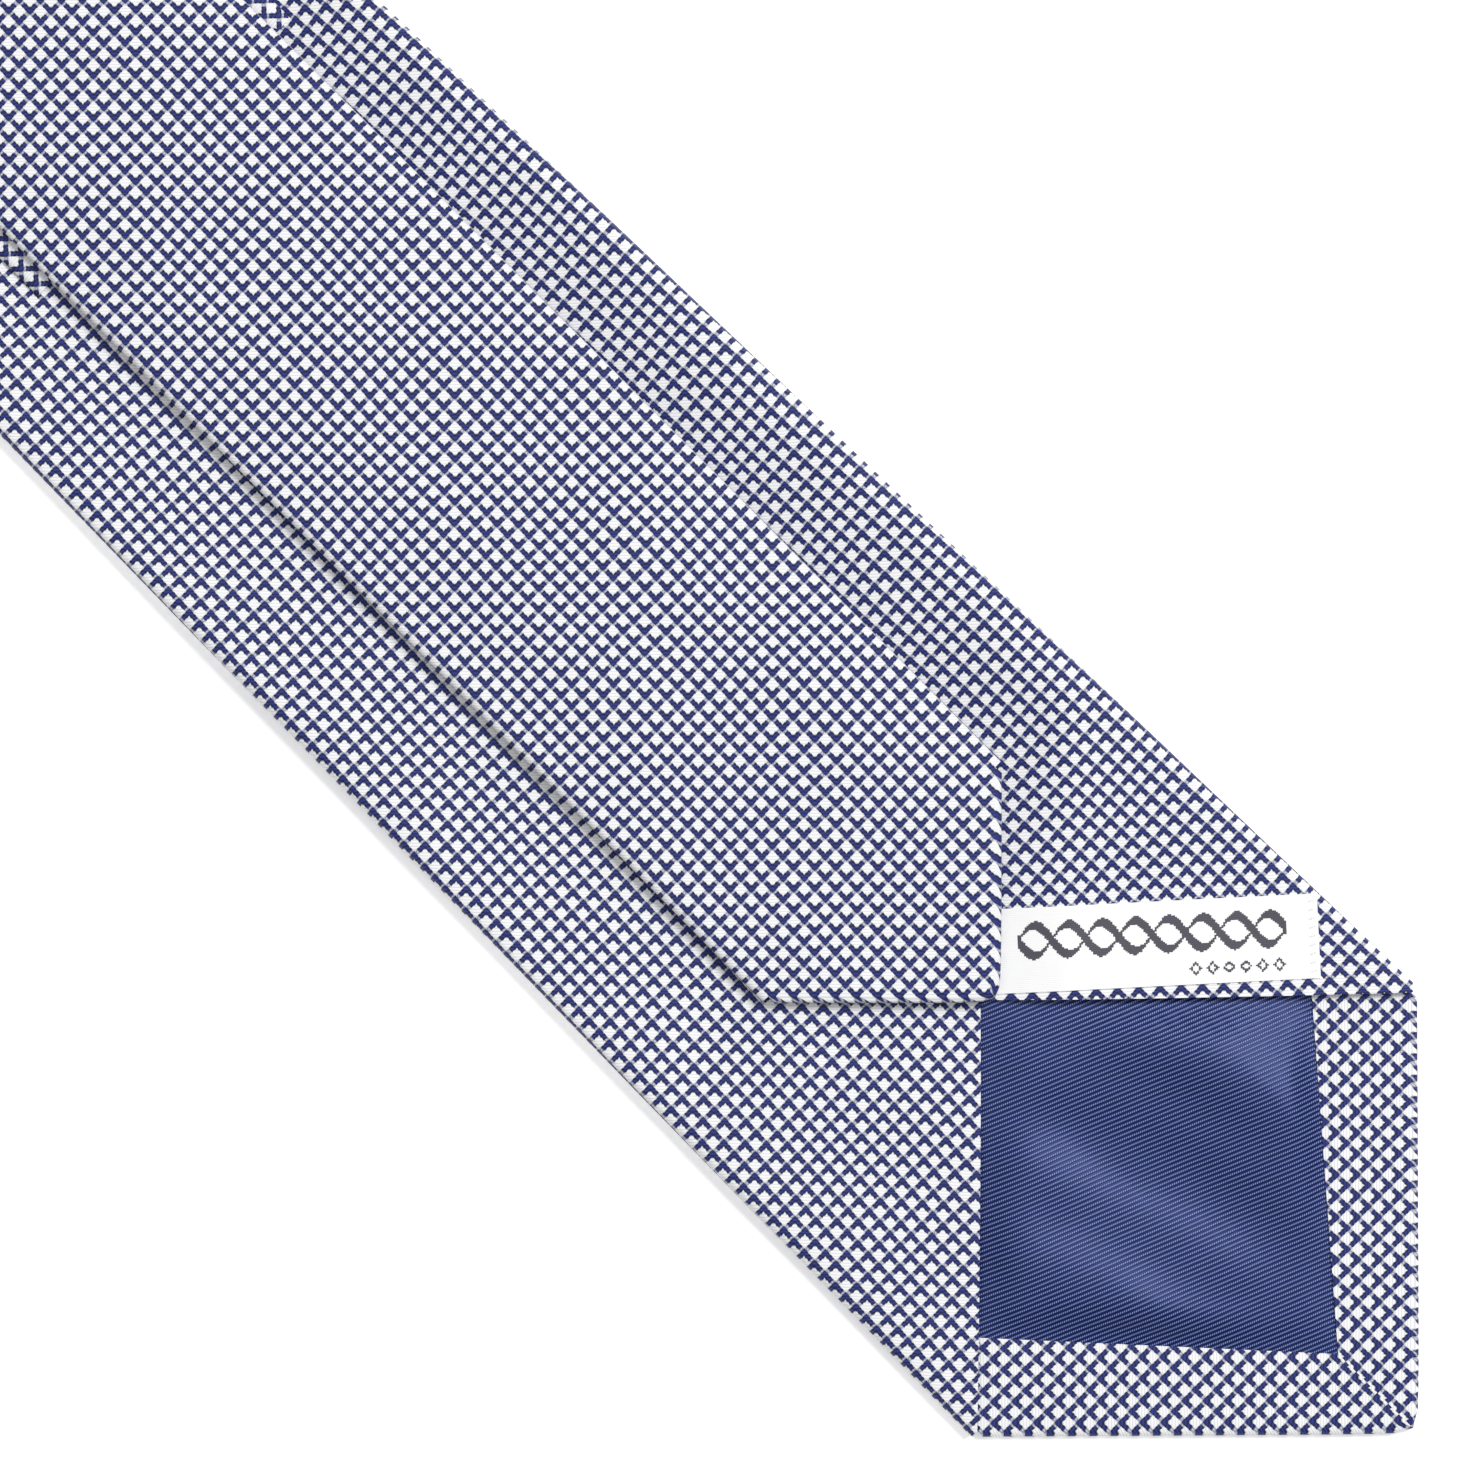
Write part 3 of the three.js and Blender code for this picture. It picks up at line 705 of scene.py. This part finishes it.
# ---- the fold in the neck --------------------------------------------------------------------------------
def fold_path(d):
    """A point d along the neck's middle line, from the front through the fold to the tail, as x and z, and
    the direction towards the fold's inside."""
    quarter = CORNER * math.pi / 2
    low, high = STACK / 2, FOLD_HEIGHT - STACK / 2
    upright = high - low - 2 * CORNER
    straight = NECK_REACH - CORNER
    if d < straight:
        return HINGE_X + NECK_REACH - d, low, 0.0, 1.0
    d -= straight
    if d < quarter:
        sine, cosine = math.sin(d / CORNER), math.cos(d / CORNER)
        return HINGE_X + CORNER * (1 - sine), low + CORNER * (1 - cosine), sine, cosine
    d -= quarter
    if d < upright:
        return HINGE_X, low + CORNER + d, 1.0, 0.0
    d -= upright
    if d < quarter:
        sine, cosine = math.sin(d / CORNER), math.cos(d / CORNER)
        return HINGE_X + CORNER * (1 - cosine), high - CORNER * (1 - sine), cosine, -sine
    d -= quarter
    x = HINGE_X + CORNER + d
    return x, tail_rise(x) + STACK / 2, 0.0, -1.0


HALF_FOLD = NECK_REACH - CORNER + CORNER * math.pi / 2 + (FOLD_HEIGHT - STACK - 2 * CORNER) / 2


def front_fold_place(s, y, h):
    x, z, in_x, in_z = fold_path(s - FRONT_FOLD_AT)
    return Vector((x + in_x * (h - STACK / 2), y, z + in_z * (h - STACK / 2)))


def tail_fold_place(s, y, h):
    x, z, in_x, in_z = fold_path(2 * HALF_FOLD - (s - TAIL_FOLD_AT))
    sway = tail_sway(max(x, HINGE_X))
    return Vector((x + in_x * (h - STACK / 2), y + sway, z + in_z * (h - STACK / 2)))


def hinge_point(x, z):
    return (x * MM, 0, z * MM)


LOW_BEND = ("front", "neck_bridge", hinge_point(HINGE_X + CORNER, STACK / 2),
            hinge_point(HINGE_X, STACK / 2 + CORNER))
HIGH_BEND = ("neck_bridge", "tail", hinge_point(HINGE_X, FOLD_HEIGHT - STACK / 2 - CORNER),
             hinge_point(HINGE_X + CORNER, FOLD_HEIGHT - STACK / 2))

low_fold, low_area = tube(FRONT, "neck_fold_low", FRONT_FOLD_AT, FRONT_FOLD_AT + HALF_FOLD,
                          front_fold_place, step=0.55)
finish_piece(low_fold, ["neck_gusset_fold"], bend=LOW_BEND)
declare(low_fold, low_area, 36, 78)

high_fold, high_area = tube(TAIL, "neck_fold_high", TAIL_FOLD_AT, TAIL_FOLD_AT + HALF_FOLD,
                            tail_fold_place, step=0.55)
finish_piece(high_fold, bend=HIGH_BEND)
declare(high_fold, high_area, 36, 78)


# ---- wool inside -----------------------------------------------------------------------------------------
def wool_strip(lay, name, first, last, place, step, cut, nodes=(), body=None, bend=None):
    """A length of the interlining, pointed where it reaches into a tip. cut is its length and width."""
    rows = []
    for s in steps(first, last, max(2, round((last - first) / step))):
        reach = half_width(lay.widths, s)[0] - WOOL_INSET
        if not bend:
            reach = min(reach, s - WOOL_TIP_INSET)
        rows.append([(s, y, WOOL_H) for y in steps(-reach, reach, 10)])
    strip, area = slab(name, rows, WOOL_THICKNESS, WOOL, place, lambda s, y, h: (s / TILE, y / TILE))
    finish_piece(strip, nodes, body, bend)
    declare(strip, area, *cut, held="laid")


wool_strip(FRONT, "front_wool", 6, FRONT_FOLD_AT, FRONT.point, 6, (740, 90), ["front_interlining"], "front")
wool_strip(TAIL, "tail_wool", 6, TAIL_FOLD_AT, TAIL.point, 6, (655, 48), ["tail_interlining"], "tail")
wool_strip(FRONT, "neck_wool_low", FRONT_FOLD_AT, FRONT_FOLD_AT + HALF_FOLD, front_fold_place, 0.8,
           (36, 37), ["neck_interlining"], bend=LOW_BEND)
wool_strip(TAIL, "neck_wool_high", TAIL_FOLD_AT, TAIL_FOLD_AT + HALF_FOLD, tail_fold_place, 0.8, (36, 37),
           bend=HIGH_BEND)


# ---- tipping ---------------------------------------------------------------------------------------------
def lining_swell(s, y):
    """How far the loose lining stands up: two trains of slanting folds and some unevenness."""
    fold = y + 0.2 * (s - 50) - 9.9
    wave = 1.35 * math.sin(math.tau * fold / 38) + 0.3 * math.sin(math.tau * (fold + 0.12 * s) / 12.5)
    wave *= 0.85 + 0.7 * softness(s, y, (22, 16), 6.1)
    return 1.45 + wave + 0.45 * softness(s, y, (15, 12), 7.3) + 0.2 * softness(s, y, (6, 8), 3.3)


def tipping(lay, name, length, plump, nodes, body):
    """The lining behind the tip: its pointed end lies under the hems and its far end under the flaps."""

    def twill_place(s, y, h):
        x = lay.tip_x - s
        sine, cosine = math.sin(RIB_ANGLE), math.cos(RIB_ANGLE)
        return (x * sine - y * cosine) / TWILL_TILE, (x * cosine + y * sine) / TWILL_TILE

    rows = []
    start = lay.hem_depth - LINING_UNDER_HEM
    for u in steps(0, length - start, 48):
        ease = 1 - smooth(0, length - start, u)
        row = []
        for q in steps(-1, 1, 40):
            y = q * (lay.shoulder - LINING_INSET)
            s = start + u + 1.08 * abs(y) * ease
            clear_of_hem = smooth(0, 8, s - lay.hem_depth - 1.1 * abs(y))
            clear_of_flap = smooth(0, 9, lay.flap_end - FLAP_END_SLOPE * abs(y) - s)
            swell = max(lining_swell(s, y) * plump, -0.08)
            row.append((s, y, TIPPING_H + swell * (clear_of_hem * clear_of_flap)))
        rows.append(row)
    piece, area = slab(name, rows, LINING_THICKNESS, TWILL, lay.point, twill_place)
    finish_piece(piece, nodes, body)
    declare(piece, area, length + 12, 2 * lay.shoulder, held="laid")


tipping(FRONT, "front_lining", 118, 0.95, ["front_tipping"], "front")
tipping(TAIL, "tail_lining", 76, 0.35, ["tail_tipping"], "tail")

# ---- keeper and label ------------------------------------------------------------------------------------
KEEPER_X = FRONT_TIP_X - KEEPER_AT
KEEPER_Y = tail_sway(KEEPER_X)
KEEPER_SPAN = (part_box("keeper_loop")[1].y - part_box("keeper_loop")[0].y) / MM


def blunted(value, power):
    """A sine or cosine pushed away from nought, which squares off a round section."""
    return math.copysign(abs(value) ** power, value)


def keeper():
    """A band of the same silk, folded to four layers and turned 45 degrees, across the back under the
    tail."""
    section = [(blunted(math.cos(a), 0.35), blunted(math.sin(a), 0.6)) for a in steps(0, math.tau, 36)]
    half = KEEPER_WIDTH / 2 - KEEPER_ROUNDING
    ends = steps(-KEEPER_SPAN / 2, KEEPER_SPAN / 2, 48)
    points, coords = [], []
    for y in ends:
        from_end = min(1, (KEEPER_SPAN / 2 - abs(y)) / 1.2)
        thick = mix(0.12, 0.31, math.sqrt(max(0, from_end)))
        middle = KEEPER_MIDDLE_H + 0.1 * smooth(20, 26, abs(y))
        for along, up in section:
            x = KEEPER_X + along * half - KEEPER_SLANT * y
            points.append(Vector((x, KEEPER_Y + y, middle + up * thick)))
            t = along * half if up >= 0 else math.copysign(2 * half, along) - along * half
            coords.append(((t + y) / math.sqrt(2) / TILE, (y - t) / math.sqrt(2) / TILE))
    count = len(section)
    faces = grid_faces(len(ends), count)
    last = (len(ends) - 1) * count
    faces.append(tuple(range(count - 2, -1, -1)))
    faces.append(tuple(range(last, last + count - 1)))
    piece = make_piece("keeper", points, faces, coords, SILK)
    weld(piece, 0.005)
    return piece


keeper_band = keeper()
finish_piece(keeper_band, ["keeper_loop"], "front")
keeper_area = KEEPER_SPAN * (KEEPER_WIDTH - 2 * KEEPER_ROUNDING) * MM * MM
declare(keeper_band, keeper_area, KEEPER_SPAN, KEEPER_WIDTH, rests_on=["front_blade"])

END_DIRECTION = Vector((30.7, -33.6)).normalized()  # along the right flap's end, from its edge to the seam
END_NORMAL = Vector((-END_DIRECTION.y, END_DIRECTION.x))
LABEL_CORNER = Vector((60.3, 40.2))
LABEL_MIDDLE_H = STACK + 0.03 + LABEL_THICKNESS / 2


def label_place(a, b, h):
    """A point a along the label and b up from its middle, lying on the right flap."""
    at = LABEL_CORNER + END_DIRECTION * a + END_NORMAL * b
    on_flap = LABEL_MIDDLE_H + max(front_flap_lift(at.x, at.y), -0.1)
    return FRONT.point(at.x, at.y, on_flap + h)


def label():
    rows = []
    for b in steps(-LABEL_HEIGHT / 2, LABEL_HEIGHT / 2, 12):
        ripple = 0.03 * smooth(3, 6, abs(b))
        rows.append([(a, b, ripple * math.sin(a * 1.1)) for a in steps(0, LABEL_LENGTH, 48)])
    return slab("label_tab", rows, LABEL_THICKNESS, SATIN, label_place,
                lambda a, b, h: (LABEL_LENGTH / 2 - a, b), "Label")


label_tab, label_area = label()
finish_piece(label_tab, ["label"], "front")
declare(label_tab, label_area, LABEL_LENGTH, LABEL_HEIGHT, rests_on=["front_blade"], held="laid")


# ---- sewing ----------------------------------------------------------------------------------------------
STITCH_INPUTS = {"Count": "Int", "Spacing": "Float", "Length": "Float", "Thread radius": "Float",
                 "Arch": "Float", "Turn": "Float", "Unevenness": "Float", "Seed": "Int",
                 "Thread": "Material"}


def stitch_tree():
    """Geometry Nodes: a row of arched stitches along X, each lying across it and turned a little."""
    tree = bpy.data.node_groups.new("stitch row", "GeometryNodeTree")
    tree.interface.new_socket("Geometry", in_out="INPUT", socket_type="NodeSocketGeometry")
    for name, kind in STITCH_INPUTS.items():
        tree.interface.new_socket(name, in_out="INPUT", socket_type="NodeSocket" + kind)
    tree.interface.new_socket("Geometry", in_out="OUTPUT", socket_type="NodeSocketGeometry")

    def add(kind, *values, **named):
        return add_node(tree, kind, *values, **named)

    given = add("NodeGroupInput").outputs
    spacing = add("ShaderNodeCombineXYZ", X=given["Spacing"])
    line = add("GeometryNodeMeshLine", Count=given["Count"], Offset=spacing)
    start = add("ShaderNodeCombineXYZ", Y=add("times", given["Length"], -0.5))
    crown = add("ShaderNodeCombineXYZ", Z=add("times", given["Arch"], 2.0))
    end = add("ShaderNodeCombineXYZ", Y=add("times", given["Length"], 0.5))
    arch = add("GeometryNodeCurveQuadraticBezier", 10, start, crown, end)
    ring = add("GeometryNodeCurvePrimitiveCircle", Resolution=8, Radius=given["Thread radius"])
    stitch = add("GeometryNodeCurveToMesh", Curve=arch, Profile_Curve=ring, Fill_Caps=True)
    least = add("minus", given["Turn"], given["Unevenness"])
    most = add("plus", given["Turn"], given["Unevenness"])
    turn = add("ShaderNodeCombineXYZ", Z=add("chance", least, most, Seed=given["Seed"]))
    set_out = add("GeometryNodeInstanceOnPoints", Points=line, Instance=stitch, Rotation=turn)
    real = add("GeometryNodeRealizeInstances", set_out)
    painted = add("GeometryNodeSetMaterial", Geometry=real, Material=given["Thread"])
    add("NodeGroupOutput", painted)
    return tree


STITCHES = stitch_tree()


def stitch_row(name, place, material, count, spacing, length, radius, arch, turn=0.0, unevenness=0.05,
               seed=1):
    """A row of stitches centred on the origin, laid on the cloth by place, which takes millimetres along,
    across and up."""
    row = bpy.data.objects.new(name, bpy.data.meshes.new(name))
    bpy.context.scene.collection.objects.link(row)
    maker = row.modifiers.new("stitches", "NODES")
    maker.node_group = STITCHES
    values = {"Count": count, "Spacing": spacing * MM, "Length": length * MM, "Thread radius": radius * MM,
              "Arch": arch * MM, "Turn": turn, "Unevenness": unevenness, "Seed": seed, "Thread": material}
    for item in STITCHES.interface.items_tree:
        if item.in_out == "INPUT" and item.name in values:
            maker[item.identifier] = values[item.name]
    applied(row)
    middle = spacing * (count - 1) / 2
    for vertex in row.data.vertices:
        x, y, z = vertex.co / MM
        vertex.co = place(x - middle, y, z) * MM
    row.data.polygons.foreach_set("use_smooth", [True] * len(row.data.polygons))
    return row


def on_seam(lay, s0):
    """Lays stitches on the closed back seam around s0."""
    return lambda a, b, h: lay.point(s0 + a, b, STACK + h + lay.flap_lift(s0, 0))


SLIP_SPACING = 12

for lay, seed in ((FRONT, 3), (TAIL, 4)):
    first = lay.flap_end + 20
    count = int((lay.seam_at - first) / SLIP_SPACING)
    middle = first + SLIP_SPACING / 2 * count
    row = stitch_row(lay.name + "_seam_stitches", on_seam(lay, middle), NAVY, count, SLIP_SPACING,
                     length=4.2, radius=0.16, arch=0.1, turn=1.15, unevenness=0.12, seed=seed)
    finish_piece(row, [lay.name + "_slip_stitch"], lay.name)

for lay in (FRONT, TAIL):
    tack = stitch_row(lay.name + "_end_tack", on_seam(lay, lay.flap_end + 12), WHITE, 9, 0.3,
                      length=7.0, radius=0.17, arch=0.12, unevenness=0.03, seed=6)
    finish_piece(tack, [lay.name + "_bar_tack"], lay.name)


def on_keeper(y0):
    """Lays stitches across the keeper, y0 from its middle."""
    x0 = KEEPER_X - KEEPER_SLANT * y0
    return lambda a, b, h: Vector((x0 + a, KEEPER_Y + y0 + b, STACK + 0.7 + h))


for side, side_name in ((-1, "left"), (1, "right")):
    at_end = on_keeper(side * (KEEPER_SPAN / 2 - 1.3))
    tack = stitch_row("keeper_" + side_name + "_stitches", at_end, NAVY, 6, 1.5,
                      length=1.0, radius=0.1, arch=0.05, turn=0.3, unevenness=0.15, seed=9)
    finish_piece(tack, ["keeper_tack_" + side_name], "front")


def on_label(along):
    """Lays stitches up the label, at a place along it."""
    return lambda a, b, h: label_place(along + b, a, h + LABEL_THICKNESS / 2)


LABEL_ENDS = (("label_outer_stitches", "label_stitch_right", 0.9),
              ("label_inner_stitches", "label_stitch_left", LABEL_LENGTH - 0.9))
for name, node_name, along in LABEL_ENDS:
    row = stitch_row(name, on_label(along), WHITE, 9, 1.25, length=0.8, radius=0.09, arch=0.02, turn=0.3,
                     seed=12)
    finish_piece(row, [node_name], "front")

# ---- floor, light and camera -----------------------------------------------------------------------------
VIEW_WIDTH = 207.3
TO_LOWER_RIGHT = math.radians(44.7)  # the tie's length runs down to the right by this much
RIGHT = Vector((math.cos(TO_LOWER_RIGHT), math.sin(TO_LOWER_RIGHT), 0))
LOOK_AT = Vector((FRONT_TIP_X - 140.06, 2.24, 1.5)) * MM
FLOOR_REACH = 3.0

corners = [(FLOOR_REACH * x, FLOOR_REACH * y, 0) for x, y in ((-1, -1), (1, -1), (1, 1), (-1, 1))]
floor_mesh = bpy.data.meshes.new("sweep")
floor_mesh.from_pydata(corners, [], [(0, 1, 2, 3)])
floor_mesh.materials.append(paper_white("white paper sweep"))
floor = bpy.data.objects.new("sweep", floor_mesh)
bpy.context.scene.collection.objects.link(floor)


def soft_light(name, direction, distance, size, power):
    """A square studio light aimed at the tie."""
    lamp = bpy.data.lights.new(name, "AREA")
    lamp.size, lamp.energy = size, power
    light = bpy.data.objects.new(name, lamp)
    light.location = LOOK_AT + Vector(direction).normalized() * distance
    light.rotation_euler = Vector(direction).to_track_quat("Z", "Y").to_euler()
    bpy.context.scene.collection.objects.link(light)


soft_light("key light", (0.1, 1.0, 1.5), distance=1.6, size=0.5, power=17.5)
soft_light("overhead light", (-0.1, -0.1, 1.0), distance=1.9, size=1.6, power=7)

scene = bpy.context.scene
world = bpy.data.worlds.new("studio")
world.use_nodes = True
sky = next(n for n in world.node_tree.nodes if n.type == "BACKGROUND")
sky.inputs["Color"].default_value = (1, 1, 1, 1)
sky.inputs["Strength"].default_value = 0.36
scene.world = world
scene.view_settings.view_transform = "Standard"

lens = bpy.data.cameras.new("camera")
lens.lens = 150
lens.sensor_width = 36
camera = bpy.data.objects.new("camera", lens)
camera.location = LOOK_AT + Vector((0, 0, VIEW_WIDTH * MM * lens.lens / lens.sensor_width))
camera.rotation_euler = (0, 0, math.atan2(RIGHT.y, RIGHT.x))
scene.collection.objects.link(camera)
scene.camera = camera
